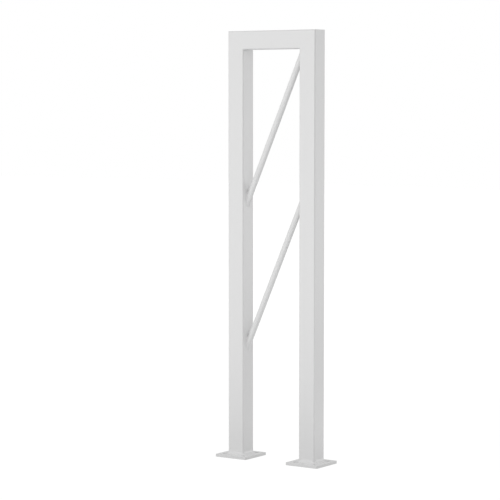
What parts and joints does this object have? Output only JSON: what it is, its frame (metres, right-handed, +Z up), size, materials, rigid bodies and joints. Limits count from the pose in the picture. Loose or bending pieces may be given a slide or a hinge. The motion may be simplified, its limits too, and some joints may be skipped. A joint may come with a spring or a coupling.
{
  "type": "railing baluster",
  "caption": "Tall narrow railing baluster: two square-tube uprights under a top rail, on drilled base plates, braced by slanted round rods, coated white.",
  "frame": {"origin": "on the floor, midway between the two base plates, in the middle of the frame's depth", "axes": "+X along the top rail to the right, -Y towards the front, +Z up"},
  "size_m": [0.265, 0.08, 0.93],
  "materials": {
    "white_coat": "satin powder coat, neutral white"
  },
  "bodies": {
    "root": {"left_upright": "white_coat", "right_upright": "white_coat", "top_rail": "white_coat", "left_base_plate": "white_coat", "right_base_plate": "white_coat", "upper_brace_rod": "white_coat", "lower_brace_rod": "white_coat"}
  },
  "joints": []
}
